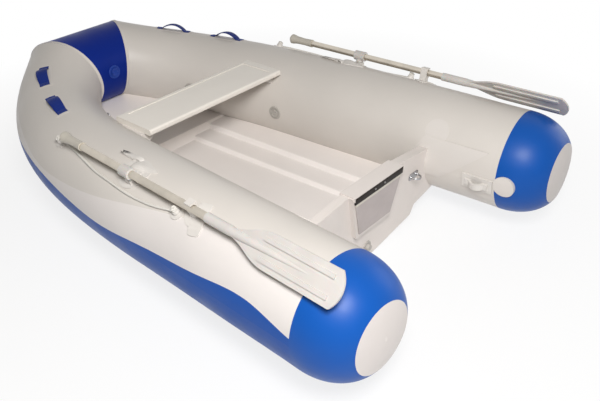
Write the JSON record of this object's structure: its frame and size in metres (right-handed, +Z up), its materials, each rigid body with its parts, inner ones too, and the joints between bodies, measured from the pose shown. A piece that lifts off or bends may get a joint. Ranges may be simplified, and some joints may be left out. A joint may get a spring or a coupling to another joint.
{
  "type": "inflatable boat",
  "caption": "Rigid inflatable tender: moulded vee hull between air tubes, raked transom with motor plate, bench seat and swinging oars.",
  "frame": {"origin": "on the floor under the middle of the boat: halfway along its length, on the centre line, level with the flat keel pad it stands on", "axes": "+X forward to the bow, +Y to port, +Z up"},
  "size_m": [2.4, 1.6278, 0.58],
  "materials": {
    "tube_grey": "coated fabric, soft sheen with a fine weave",
    "panel_white": "coated fabric, soft sheen",
    "panel_blue": "coated fabric, soft sheen",
    "nose_blue": "coated fabric, soft sheen",
    "cone_blue": "coated fabric, soft sheen",
    "cap_grey": "coated fabric, soft sheen",
    "gelcoat": "glossy moulded gelcoat",
    "liner_gelcoat": "satin gelcoat with a fine non-slip texture",
    "clamp_plate": "fine-grained hard plastic",
    "cap_black": "matt extruded plastic",
    "eye_steel": "polished stainless steel",
    "valve_plastic": "moulded plastic",
    "grey_rubber": "matt moulded rubber",
    "webbing_blue": "woven webbing",
    "seat_plastic": "satin coated board",
    "rope_white": "braided cord",
    "oar_aluminium": "satin anodised tube",
    "oar_plastic": "slightly translucent moulded plastic"
  },
  "bodies": {
    "boat": {"bow_deck": "liner_gelcoat", "carry_handles": "grey_rubber", "deck_eye": "eye_steel", "deck_liner": "liner_gelcoat", "drain_plug": "valve_plastic", "end_cap_port": "cap_grey", "end_cap_starboard": "cap_grey", "grab_handles_port": "webbing_blue", "grab_handles_starboard": "webbing_blue", "hull": "gelcoat", "lifeline_anchors": "grey_rubber", "lifeline_port": "rope_white", "lifeline_starboard": "rope_white", "motor_pad": "gelcoat", "motor_plate": "clamp_plate", "oar_clip_port": "grey_rubber", "oar_clip_starboard": "grey_rubber", "rowlock_port": "grey_rubber", "rowlock_starboard": "grey_rubber", "seam_discs": "grey_rubber", "seat": "seat_plastic", "seat_holders": "tube_grey", "stem_eye": "eye_steel", "stern_cone_port": "cone_blue", "stern_cone_starboard": "cone_blue", "tow_eyes": "eye_steel", "transom": "gelcoat", "transom_cap": "cap_black", "transom_gussets": "tube_grey", "tube_lower_panel_port": "panel_blue", "tube_lower_panel_starboard": "panel_blue", "tube_nose": "nose_blue", "tube_side_panel_port": "panel_white", "tube_side_panel_starboard": "panel_white", "tube_top_port": "tube_grey", "tube_top_starboard": "tube_grey", "valves": "valve_plastic"},
    "oar_port": {"oar_shaft_port": "oar_aluminium", "oar_grip_port": "oar_plastic", "oar_blade_port": "oar_plastic", "oar_collar_port": "oar_plastic"},
    "oar_starboard": {"oar_shaft_starboard": "oar_aluminium", "oar_grip_starboard": "oar_plastic", "oar_blade_starboard": "oar_plastic", "oar_collar_starboard": "oar_plastic"}
  },
  "joints": [
    {"name": "oar_port_swing", "type": "hinge", "parent": "boat", "child": "oar_port", "pos_m": [-0.14395, 0.68607, 0.51993], "axis": [-0.0133, -0.2585, -0.9659], "range_deg": [0, 110]},
    {"name": "oar_starboard_swing", "type": "hinge", "parent": "boat", "child": "oar_starboard", "pos_m": [-0.14395, -0.68607, 0.51993], "axis": [0.0133, -0.2585, 0.9659], "range_deg": [0, 110]}
  ]
}
